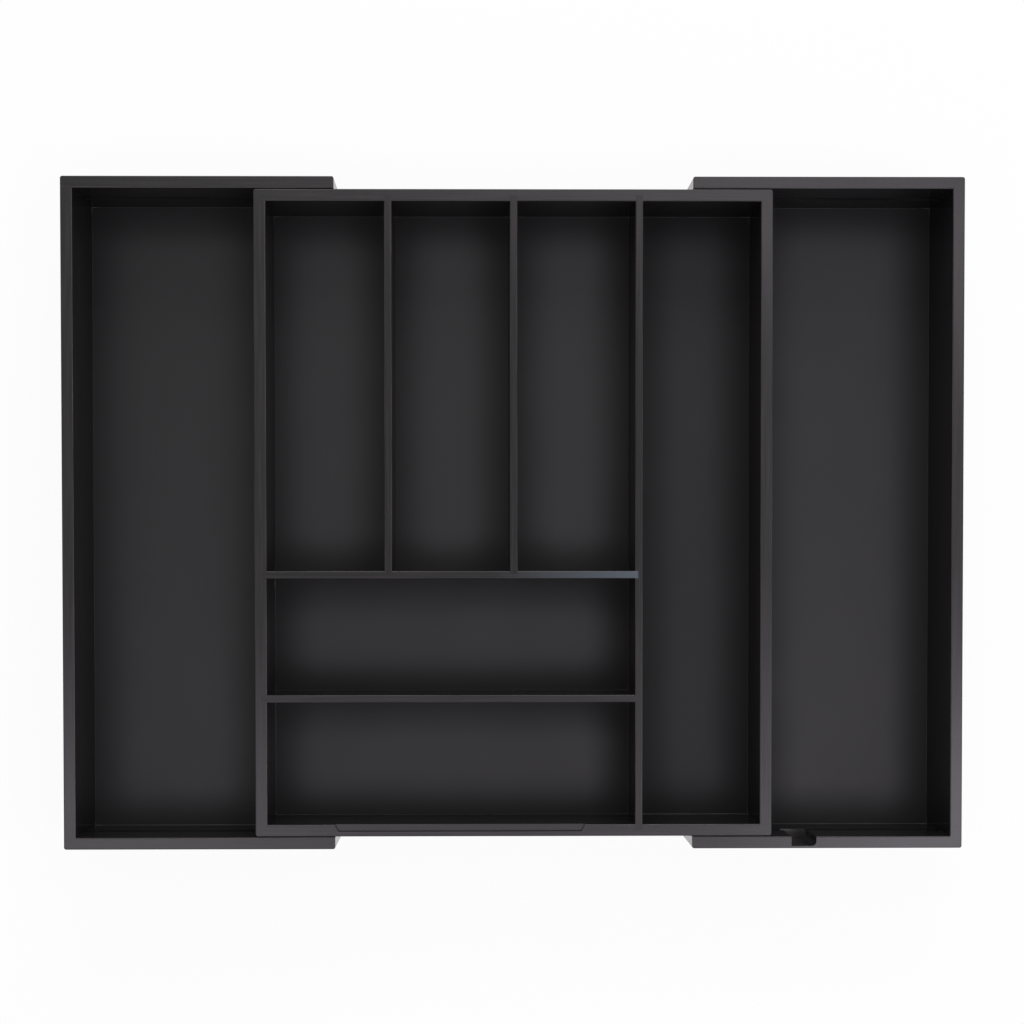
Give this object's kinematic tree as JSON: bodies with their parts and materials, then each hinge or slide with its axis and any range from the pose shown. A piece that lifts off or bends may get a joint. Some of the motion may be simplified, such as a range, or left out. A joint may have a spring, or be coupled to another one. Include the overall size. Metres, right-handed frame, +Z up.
{
  "type": "expandable cutlery tray",
  "caption": "Expandable cutlery tray of black-lacquered boards: a divided centre tray between side trays that slide out, on tongues in grooves, to fill the width of a drawer.",
  "frame": {"origin": "centre of the pulled-out tray's footprint, on the drawer's bottom", "axes": "+X to the right, along which the right side tray pulls out; +Y to the back of the drawer; +Z up"},
  "size_m": [0.604, 0.45, 0.065],
  "materials": {
    "lacquered_walls": "satin black lacquer",
    "lacquered_dividers": "satin black lacquer",
    "lacquered_floors": "satin black lacquer on thin ply",
    "guide_tongues": "black-stained, waxed",
    "hidden_dowels": "bare bamboo"
  },
  "bodies": {
    "centre_tray": {"centre_back_wall": "lacquered_walls", "centre_front_wall": "lacquered_walls", "centre_left_wall": "lacquered_walls", "centre_right_wall": "lacquered_walls", "centre_floor": "lacquered_floors", "long_divider": "lacquered_dividers", "upper_cross_divider": "lacquered_dividers", "lower_cross_divider": "lacquered_dividers", "left_short_divider": "lacquered_dividers", "right_short_divider": "lacquered_dividers", "back_left_tongue": "guide_tongues", "back_right_tongue": "guide_tongues", "front_left_tongue": "guide_tongues", "front_right_tongue": "guide_tongues"},
    "left_tray": {"left_end_wall": "lacquered_walls", "left_back_wall": "lacquered_walls", "left_front_wall": "lacquered_walls", "left_floor": "lacquered_floors", "left_corner_dowels": "hidden_dowels"},
    "right_tray": {"right_end_wall": "lacquered_walls", "right_back_wall": "lacquered_walls", "right_front_wall": "lacquered_walls", "right_floor": "lacquered_floors", "right_corner_dowels": "hidden_dowels"}
  },
  "joints": [
    {"name": "left_tray_slide", "type": "slide", "parent": "centre_tray", "child": "left_tray", "axis": [1, 0, 0], "range_m": [0, 0.1195]},
    {"name": "right_tray_slide", "type": "slide", "parent": "centre_tray", "child": "right_tray", "axis": [-1, 0, 0], "range_m": [0, 0.1195]}
  ]
}
